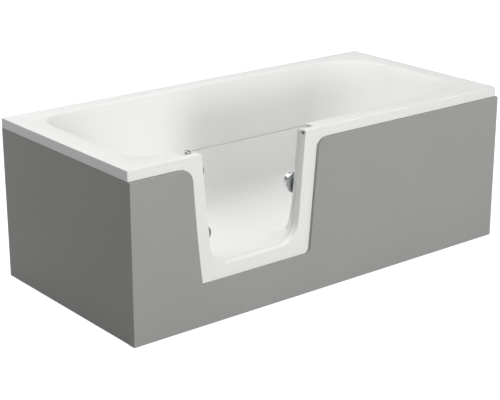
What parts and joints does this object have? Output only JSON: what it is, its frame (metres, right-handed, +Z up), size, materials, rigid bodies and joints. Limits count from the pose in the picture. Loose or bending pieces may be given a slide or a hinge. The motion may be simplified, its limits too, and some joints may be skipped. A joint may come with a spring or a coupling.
{
  "type": "walk-in bathtub",
  "caption": "Rectangular panelled bathtub with a low doorway in its front, an inward swinging glass door with a turn latch, and a turn-knob waste.",
  "frame": {"origin": "on the floor, under the middle of the whole tub with its panels", "axes": "+X from the door end towards the backrest end, +Y from the front panel towards the wall, +Z up"},
  "size_m": [1.6, 0.761, 0.57],
  "materials": {
    "white_acrylic": "high-gloss white moulded acrylic",
    "grey_panel": "satin grey moulded sheet",
    "door_glass": "clear toughened glass with a green edge",
    "seal_rubber": "soft white rubber",
    "black_rubber": "black rubber",
    "chrome": "polished chrome plate",
    "stainless_steel": "brushed stainless steel",
    "zinc_steel": "bright zinc-plated steel",
    "painted_frame": "grey powder-coated steel tube",
    "timber": "raw timber board",
    "grey_plastic": "pale grey moulded plastic",
    "black_plastic": "black moulded plastic"
  },
  "bodies": {
    "root": {"base_board": "timber", "door_gasket": "seal_rubber", "foot_nuts": "zinc_steel", "foot_pads": "black_plastic", "foot_studs": "zinc_steel", "frame_cross_beams": "painted_frame", "frame_rail_back": "painted_frame", "frame_rail_front": "painted_frame", "frame_uprights": "painted_frame", "front_panel": "grey_panel", "hinge_bracket_lower": "chrome", "hinge_bracket_screws": "stainless_steel", "hinge_bracket_upper": "chrome", "hinge_cap": "chrome", "hinge_rod": "chrome", "keeper_screws": "stainless_steel", "latch_keeper": "stainless_steel", "left_end_panel": "grey_panel", "outlet_nut": "grey_plastic", "outlet_pipe": "grey_plastic", "overflow_body": "grey_plastic", "overflow_pipe": "grey_plastic", "overflow_rosette": "chrome", "overflow_seal": "black_rubber", "panel_clips": "zinc_steel", "panel_stays": "zinc_steel", "right_end_panel": "grey_panel", "rim_batten_back": "timber", "rim_batten_front_left": "timber", "rim_batten_front_right": "timber", "rim_batten_left": "timber", "rim_batten_right": "timber", "threshold_support": "timber", "trap_body": "grey_plastic", "trap_cover": "grey_plastic", "trap_nut": "grey_plastic", "tub_shell": "white_acrylic", "wall_bracket_left": "zinc_steel", "wall_bracket_right": "zinc_steel", "waste_body": "grey_plastic", "waste_flange": "chrome", "waste_seal": "black_rubber"},
    "door": {"door_glass": "door_glass", "hinge_arm_upper": "chrome", "hinge_arm_lower": "chrome", "hinge_pads": "black_rubber", "hinge_bolts": "chrome", "hinge_nuts": "chrome", "latch_bush": "chrome", "latch_rosette": "chrome"},
    "latch": {"latch_knob": "chrome", "latch_spindle": "stainless_steel", "latch_cam": "stainless_steel", "latch_screw": "stainless_steel"},
    "overflow_turn": {"overflow_knob": "chrome"},
    "plug": {"waste_plug": "chrome"}
  },
  "joints": [
    {"name": "door_swing", "type": "hinge", "parent": "root", "child": "door", "pos_m": [-0.549, -0.325, 0.35], "axis": [0, 0, 1], "range_deg": [0, 90]},
    {"name": "latch_turn", "type": "hinge", "parent": "door", "child": "latch", "pos_m": [-0.108, -0.3265, 0.377], "axis": [0, -1, 0], "range_deg": [0, 90]},
    {"name": "overflow_knob_turn", "type": "hinge", "parent": "root", "child": "overflow_turn", "pos_m": [-0.69812, 0.008, 0.474], "axis": [0.9816, 0, 0.1907], "range_deg": [0, 90]},
    {"name": "plug_lift", "type": "slide", "parent": "root", "child": "plug", "axis": [0, 0, 1], "range_m": [0, 0.01]}
  ],
  "couplings": [
    {"joint": "plug_lift", "follows": "overflow_knob_turn", "m_per_rad": 0.0063661}
  ]
}
